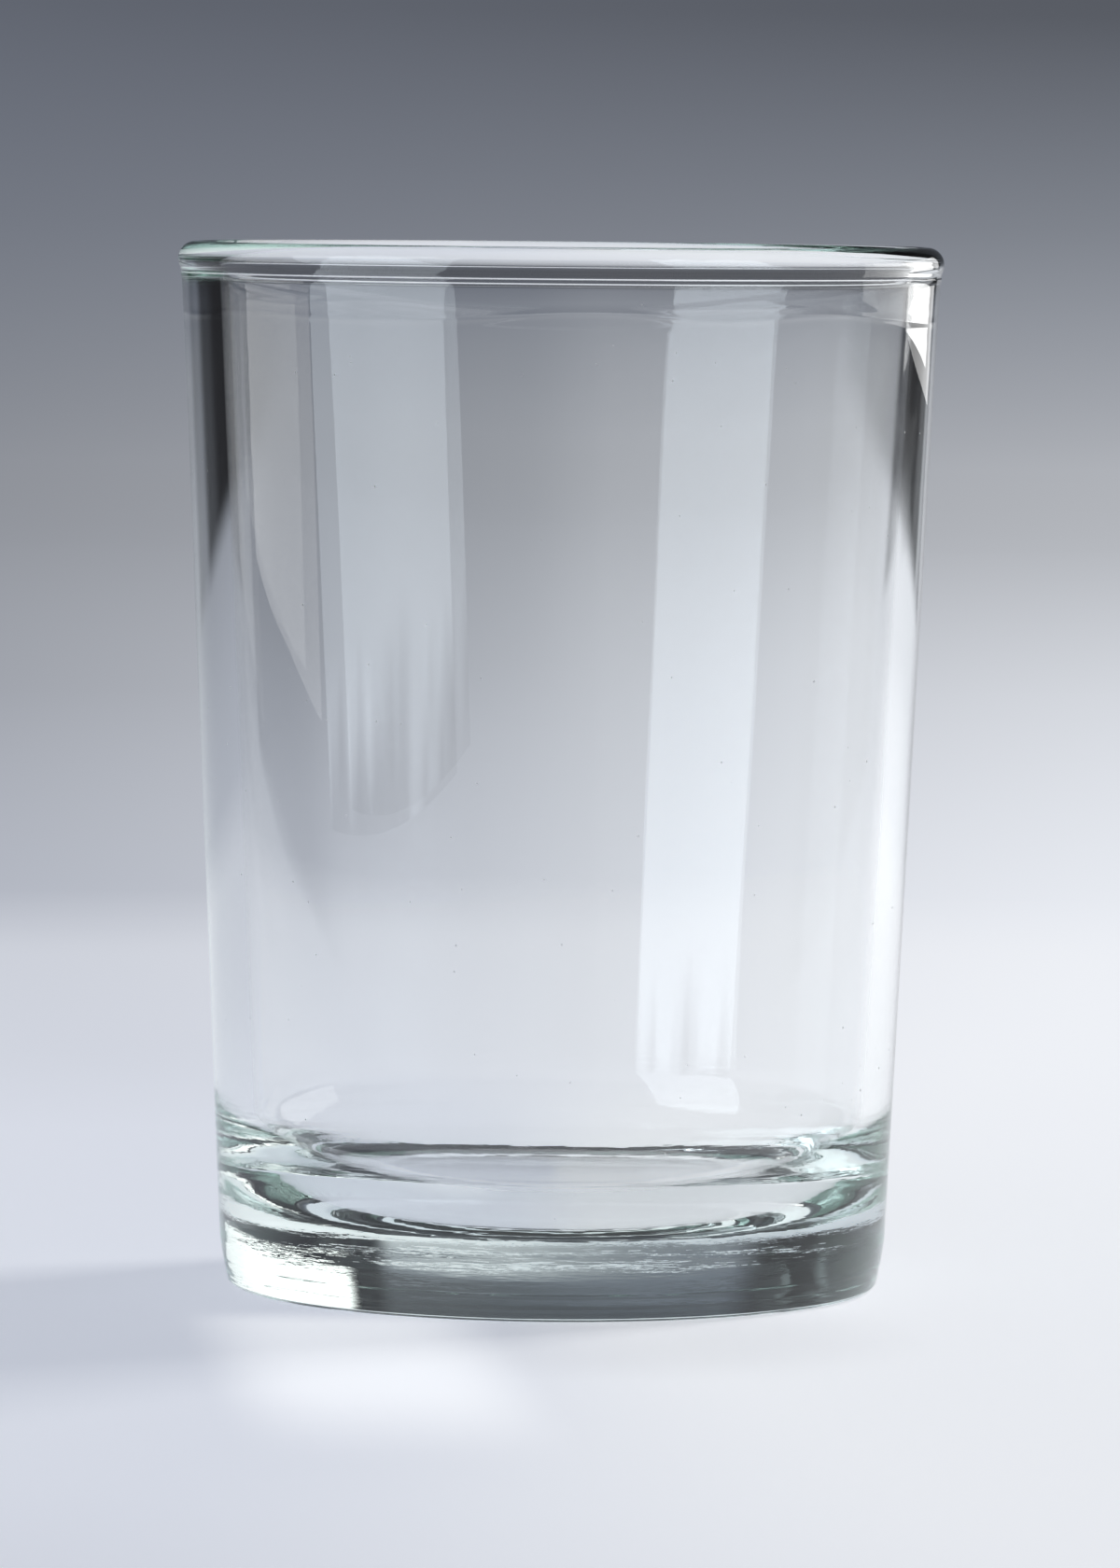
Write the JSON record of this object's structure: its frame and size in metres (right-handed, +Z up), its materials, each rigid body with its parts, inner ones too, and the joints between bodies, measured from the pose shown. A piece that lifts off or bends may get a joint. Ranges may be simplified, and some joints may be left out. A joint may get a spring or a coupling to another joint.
{
  "type": "rocks glass",
  "caption": "Clear glass tumbler for drinks: thick flat base, smooth gently flared wall and a rounded lip, open at the top.",
  "frame": {"origin": "on the table plane, under the middle of the glass", "axes": "+Z up along the turning axis, from the foot to the lip; -Y faces the picture's camera"},
  "size_m": [0.0704, 0.0704, 0.096],
  "materials": {
    "clear_glass": "smooth fire-polished clear glass, faint grey-green where it is thick"
  },
  "bodies": {
    "root": {"glass_body": "clear_glass"}
  },
  "joints": []
}
